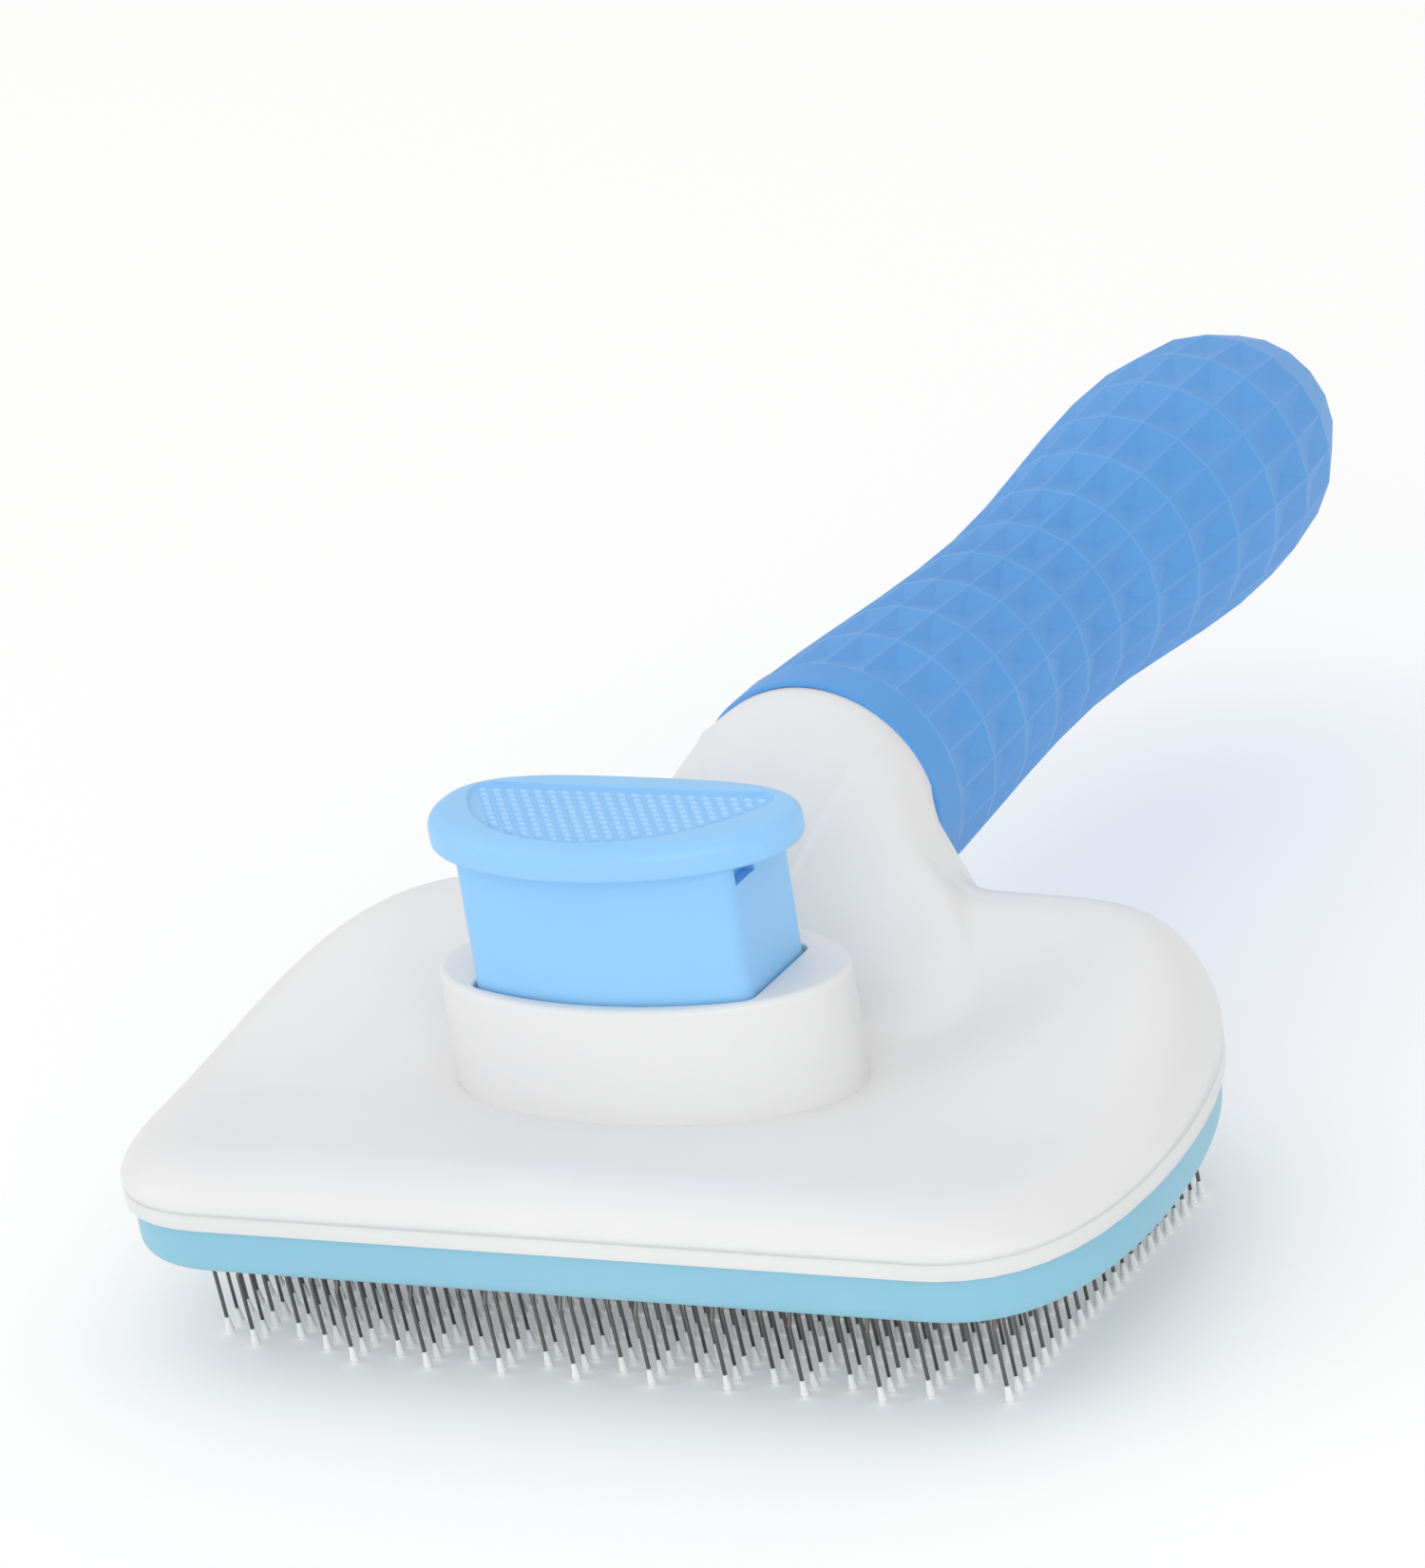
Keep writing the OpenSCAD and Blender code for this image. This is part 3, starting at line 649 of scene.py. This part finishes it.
def build_cap():
    n = 420
    half = (CAP_HIGH[0] - CAP_LOW[0]) / 2 - 0.8
    front = CAP_LOW[1] - FRONT
    back = CAP_HIGH[1] - FRONT
    mid = 26.0
    turn = np.linspace(-math.pi, math.pi, 1440, endpoint=False)
    c, q = np.cos(turn), np.sin(turn)
    ahead = np.column_stack([half * c, mid + (mid - front) * q])
    behind = np.column_stack([half * np.sign(c) * np.abs(c) ** 0.6, mid + (back - mid) * np.abs(q) ** 0.75])
    outer = np.where(q[:, None] < 0, ahead, behind)
    pad_line = rounded_bow(16.4, 30.0, 17.6, 16.4 + 17.6, 1.8, 900)
    centre = (0, 24.5)
    outer = by_angle(outer, centre, n)
    pad = by_angle(pad_line, centre, n)
    bottom, top = CAP_LOW[2], CAP_HIGH[2]
    low_r, high_r = 0.5, 1.7
    rings = [at_height(inset(outer, 2.2), bottom + 0.02), at_height(inset(outer, low_r), bottom)]
    for k in range(1, 5):
        q = math.pi / 2 * k / 4
        rings.append(at_height(inset(outer, low_r * (1 - math.sin(q))), bottom + low_r * (1 - math.cos(q))))
    for k in range(0, 11):
        q = math.pi / 2 * k / 10
        rings.append(at_height(inset(outer, high_r * (1 - math.cos(q))),
                               top - 0.12 - high_r + high_r * math.sin(q)))
    inner = inset(outer, high_r)
    for k in range(1, 7):
        rings.append(at_height(mix(inner, pad, k / 7), top - 0.12 + 0.12 * math.sin(math.pi / 2 * k / 6)))
    rings.append(at_height(mix(inner, pad, 0.96), top))
    rings.append(at_height(pad, top - 0.06))
    dish = 0.5
    rings.append(at_height(mix(pad, np.array(centre), 0.015), top - dish * 0.8))
    for k in range(1, 12):
        rings.append(at_height(mix(pad, np.array(centre), 0.03 + 0.95 * (k - 1) / 10), top - dish))
    verts, faces = loft(rings, cap_first=True, cap_last=True)
    obj = add_piece("button_cap_thumb", verts, faces, "plunger", "button_blue", BUTTON, ["button_cap"])

    # staggered diamonds that stand in the dish
    dx, dy = 1.52, 1.1
    base_half, top_half = (0.66, 0.47), (0.4, 0.27)
    kverts, kfaces = [], []
    pad_in = inset(resample(pad_line, 400), 0.75)
    for r in range(-10, 11):
        for c in range(-13, 14):
            x = (c + (0.5 if r % 2 else 0)) * dx
            y = centre[1] - 0.6 + r * dy
            if not inside_outline((x, y), pad_in):
                continue
            b = len(kverts)
            for hx, hy, z in ((*base_half, top - dish - 0.05), (*top_half, top - 0.06)):
                kverts += [(x + hx, y, z), (x, y + hy, z), (x - hx, y, z), (x, y - hy, z)]
            kfaces += [(b + i, b + (i + 1) % 4, b + 4 + (i + 1) % 4, b + 4 + i) for i in range(4)]
            kfaces.append((b + 4, b + 5, b + 6, b + 7))
    # The diamonds take the lighter material: painted highlight on the knurl.
    knurl = add_piece("button_cap_diamonds", kverts, kfaces, "plunger", "button_blue", KNURL_HIGHLIGHT, smooth=False)
    bevel(knurl, 0.05, 1, 20, harden=False)


def inside_outline(p, outline):
    a = outline
    b = np.roll(outline, -1, axis=0)
    cross = (a[:, 1] > p[1]) != (b[:, 1] > p[1])
    rise = np.where(b[:, 1] == a[:, 1], 1e-9, b[:, 1] - a[:, 1])
    x = a[:, 0] + (p[1] - a[:, 1]) / rise * (b[:, 0] - a[:, 0])
    return (cross & (p[0] < x)).sum() % 2 == 1


build_cap()


# ---------------------------------------------------------------- grip

FACETS = 20
WAIST_Y = 114.0
BULGE_Y = 155.0
R_FRONT, R_WAIST = 13.5, 11.4
R_BULGE = (GRIP_HIGH[2] - GRIP_LOW[2]) / 2


def grip_r(y):
    if y < WAIST_Y:
        return mix(R_FRONT, R_WAIST, ramp(GRIP_START, WAIST_Y, y))
    if y < BULGE_Y:
        return mix(R_WAIST, R_BULGE, ramp(WAIST_Y, BULGE_Y, y))
    return R_BULGE * math.sqrt(max(0, 1 - ((y - BULGE_Y) / (GRIP_END - BULGE_Y)) ** 2.4))


def build_grip():
    """Front band, then rows of shallow hollow pyramids between straight ridges, then a plain dome."""
    step = 8.76
    first = GRIP_START + 5.6
    rows = 11
    ys = [first + step * k for k in range(rows + 1)]
    verts, faces = [], []

    def ring(y, r, n, turn=0.0):
        b = len(verts)
        for i in range(n):
            a = 2 * math.pi * (i + turn) / n
            verts.append((r * math.sin(a), y, AXIS_Z + r * math.cos(a)))
        return b

    fine = FACETS * 4
    inner = ring(GRIP_START + 4, NECK_SKIN_R + 0.05, fine)
    lip = ring(GRIP_START, NECK_SKIN_R + 0.1, fine)
    lip2 = ring(GRIP_START, R_FRONT - 0.3, fine)
    lip3 = ring(GRIP_START + 0.12, R_FRONT - 0.1, fine)
    lip4 = ring(GRIP_START + 0.4, R_FRONT, fine)
    band = ring(first - 0.75, grip_r(first) + 0.1, fine)
    # polygon ring that meets the facets: corners on the full radius, sides cut straight
    poly = len(verts)
    r0 = grip_r(first) - 0.02
    for i in range(fine):
        a = 2 * math.pi * i / fine
        off = (i % 4) / 4
        half = math.pi / FACETS
        r = r0 * math.cos(half) / math.cos((off - 0.5) * 2 * half)
        verts.append((r * math.sin(a), first, AXIS_Z + r * math.cos(a)))
    for a, b in ((inner, lip), (lip, lip2), (lip2, lip3), (lip3, lip4), (lip4, band), (band, poly)):
        for i in range(fine):
            k = (i + 1) % fine
            faces.append((a + i, a + k, b + k, b + i))

    corners = [[poly + 4 * i for i in range(FACETS)]]
    for y in ys[1:]:
        b = ring(y, grip_r(y), FACETS)
        corners.append([b + i for i in range(FACETS)])
    hollow = 0.85
    for j in range(rows):
        ym = (ys[j] + ys[j + 1]) / 2
        for i in range(FACETS):
            k = (i + 1) % FACETS
            a = 2 * math.pi * (i + 0.5) / FACETS
            r = grip_r(ym) * math.cos(math.pi / FACETS) - hollow
            c = len(verts)
            verts.append((r * math.sin(a), ym, AXIS_Z + r * math.cos(a)))
            p, q = corners[j][i], corners[j][k]
            s, t = corners[j + 1][k], corners[j + 1][i]
            edge = [p, q] if j else [poly + (4 * i + m) % fine for m in range(5)]
            faces.append((*edge, c))
            faces.extend([(q, s, c), (s, t, c), (t, p, c)])
    last = corners[-1]
    for y in (GRIP_END - 6.8, GRIP_END - 3.1, GRIP_END - 1.1, GRIP_END - 0.25):
        b = ring(y, grip_r(y), FACETS)
        for i in range(FACETS):
            k = (i + 1) % FACETS
            faces.append((last[i], last[k], b + k, b + i))
        last = [b + i for i in range(FACETS)]
    tip = len(verts)
    verts.append((0, GRIP_END, AXIS_Z))
    for i in range(FACETS):
        faces.append((last[i], last[(i + 1) % FACETS], tip))
    obj = add_piece("grip_sleeve_faceted", verts, faces, "housing", "grip_blue", GRIP, ["grip_sleeve"])
    # Second material: the lighter blue that paints a highlight on the ridges and the band's rim.
    obj.data.materials.append(GRIP_RIDGE_HIGHLIGHT)
    crest = {frozenset((corners[j][i], corners[j + 1][i])): 1.0 for j in range(rows) for i in range(FACETS)}
    crest.update({frozenset((corners[j][i], corners[j][(i + 1) % FACETS])): 0.5
                  for j in range(1, rows + 1) for i in range(FACETS)})
    # The ring between the front band and the facets gets the lighter material: painted highlight.
    for f in range(5 * fine, 6 * fine):
        obj.data.polygons[f].material_index = 1
    weights = obj.data.attributes.new("bevel_weight_edge", "FLOAT", "EDGE")
    for e in obj.data.edges:
        weights.data[e.index].value = crest.get(frozenset(e.vertices), 0.0)
    # The bevel along the crests carries the lighter material: a painted highlight along the ridges.
    ridges = bevel(obj, 0.26, 3, harden=False)
    ridges.limit_method = "WEIGHT"
    ridges.material = 1
    sharp_smooth(obj, 5)
    return obj


build_grip()


# ---------------------------------------------------------------- pins between the CAD's pins

WIRE_R = 0.18
TIP_R, TIP_LEN = 0.475, 1.9
TIP_LEAN, ROOT_LEAN = math.radians(7), math.radians(20)
ELBOW_Z = FACE_Z - 2.6
ROOT_Z = SEAM - 1.9


def lathe(centre, axis, profile, sides):
    """Rings of (radius, distance) round an axis that leans in the y-z plane."""
    t = np.arange(sides) * 2 * math.pi / sides
    across = np.array([0, axis[2], -axis[1]])
    return [centre + axis * d + r * np.outer(np.cos(t), (1, 0, 0)) + r * np.outer(np.sin(t), across)
            for r, d in profile]


def pin_between(x, y):
    """Wire and tip of one bent pin that stands at x, y."""
    foot = np.array([x, y, TIP_R])
    low_axis = np.array([0, -math.sin(TIP_LEAN), math.cos(TIP_LEAN)])
    top_axis = np.array([0, math.sin(ROOT_LEAN), math.cos(ROOT_LEAN)])
    elbow_at = (ELBOW_Z - TIP_R) / math.cos(TIP_LEAN)
    elbow = foot + low_axis * elbow_at
    root_at = (ROOT_Z - ELBOW_Z) / math.cos(ROOT_LEAN)
    wire = lathe(foot, low_axis, [(WIRE_R, TIP_LEN - TIP_R), (WIRE_R, elbow_at - 0.25)], 10)
    wire += lathe(elbow, top_axis, [(WIRE_R, 0.25), (WIRE_R, root_at)], 10)
    drop = [(max(0.02, TIP_R * math.cos(a)), TIP_R * math.sin(a))
            for a in np.radians(np.arange(-90, 31, 15))]
    tip = lathe(foot, low_axis, drop + [(WIRE_R + 0.04, TIP_LEN - TIP_R)], 14)
    return loft(wire, True, True), loft(tip, True, True)


def build_pins_between():
    """One more pin between each two of the frame's in a column, because the photo looks denser.

    They are only part of the look: the frame and its collision don't have them.
    """
    wires, tips = [], []
    for i in range(COLUMNS):
        x = column_x(i)
        first, last = column_span(x)
        stagger = (i % 2) * PITCH / 2
        ys = [y for y in PIN_FRONT + stagger + PITCH * np.arange(20) if first - 0.1 <= y <= last]
        for y in ys[:-1]:
            wire, tip = pin_between(x, y + PITCH / 2)
            wires.append(wire)
            tips.append(tip)
    for name, parts, slot, material in (("pin_wires_between", wires, "pin_steel", WIRE),
                                        ("pin_tips_between", tips, "tip_white", TIP)):
        add_piece(name, *joined(parts), "housing", slot, material)


build_pins_between()


# ---------------------------------------------------------------- carried-over CAD nodes

NODE_MATERIAL = {"lower_chassis": CHASSIS, "pin_base": BASE,
                 "handle_core_upper": CHASSIS, "handle_core_lower": CHASSIS}
for name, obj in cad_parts.items():
    if name.startswith("pin_wires"):
        mat = WIRE
    elif name.startswith("pin_tips"):
        mat = TIP
    elif name.endswith("screws"):
        mat = SCREW
    else:
        mat = NODE_MATERIAL.get(name)
    if mat is None:
        continue
    obj.data.materials.clear()
    obj.data.materials.append(mat)
    if name == "lower_chassis":
        obj.modifiers.new("joined", "WELD").merge_threshold = 0.002 * MM
        for poly in obj.data.polygons:
            poly.use_smooth = True
        bevel(obj, 0.05, 2, 40)
    if name.startswith("pin_") and name != "pin_base":
        for poly in obj.data.polygons:
            poly.use_smooth = True


# ---------------------------------------------------------------- floor, light and camera

def build_floor():
    size = 3.0
    mesh = bpy.data.meshes.new("floor")
    corners = [(-size, -size, 0), (size, -size, 0), (size, size, 0), (-size, size, 0)]
    mesh.from_pydata(corners, [], [(0, 1, 2, 3)])
    floor = bpy.data.objects.new("floor", mesh)
    bpy.context.scene.collection.objects.link(floor)
    mat, nodes, links = new_material("floor_white")
    nodes["Principled BSDF"].inputs["Base Color"].default_value = (0.75, 0.75, 0.745, 1)
    nodes["Principled BSDF"].inputs["Roughness"].default_value = 0.7
    nodes["Principled BSDF"].inputs["Emission Color"].default_value = (1, 1, 1, 1)
    nodes["Principled BSDF"].inputs["Emission Strength"].default_value = 0.24
    mesh.materials.append(mat)


def area_light(name, place, target, size, power, colour=(1, 1, 1)):
    data = bpy.data.lights.new(name, "AREA")
    data.shape = "RECTANGLE"
    data.size, data.size_y = size
    data.energy = power
    data.color = colour
    obj = bpy.data.objects.new(name, data)
    obj.location = place
    obj.rotation_euler = (Vector(target) - Vector(place)).to_track_quat("-Z", "Y").to_euler()
    bpy.context.scene.collection.objects.link(obj)
    return obj


build_floor()
CENTRE = (0, 0, 0.03)
area_light("overhead", (-0.1, 0.25, 1.0), CENTRE, (2.2, 2.0), 3.3)
area_light("left_soft", (-0.9, -0.45, 0.5), CENTRE, (0.9, 0.8), 1.5)
area_light("front_fill", (0.4, -0.95, 0.4), CENTRE, (0.9, 0.7), 2.8)

world = bpy.data.worlds.new("studio")
bpy.context.scene.world = world
world.use_nodes = True
world.node_tree.nodes["Background"].inputs["Color"].default_value = (1, 1, 1, 1)
world.node_tree.nodes["Background"].inputs["Strength"].default_value = 0.76

AZIMUTH, ELEVATION, ROLL = 30.01, 20.86, 9.37
DISTANCE = 800.0
PIXELS_PER_MM = 11.154
FRAME_HEIGHT = 1650
# how far the camera stands to the right of and above the middle of the front edge, in its own plane
SHIFT_RIGHT, SHIFT_UP = 15.91, 44.64


def place_camera():
    az, el, roll = [math.radians(v) for v in (AZIMUTH, ELEVATION, ROLL)]
    back = Vector((math.sin(az) * math.cos(el), -math.cos(az) * math.cos(el), math.sin(el)))
    level = Vector((math.cos(az), math.sin(az), 0))
    above = back.cross(level)
    right = level * math.cos(roll) - above * math.sin(roll)
    up = level * math.sin(roll) + above * math.cos(roll)
    start = Vector((0, FRONT, SEAM))
    spot = start + right * SHIFT_RIGHT + up * SHIFT_UP + back * DISTANCE
    data = bpy.data.cameras.new("camera")
    data.sensor_width = 36
    data.lens = PIXELS_PER_MM * DISTANCE / FRAME_HEIGHT * data.sensor_width
    data.clip_start = 0.05
    data.clip_end = 20
    obj = bpy.data.objects.new("camera", data)
    turn = Matrix((right, up, back)).transposed().to_4x4()
    obj.matrix_world = Matrix.Translation(spot * MM) @ turn
    bpy.context.scene.collection.objects.link(obj)
    bpy.context.scene.camera = obj


place_camera()
bpy.context.scene.view_settings.view_transform = "Standard"
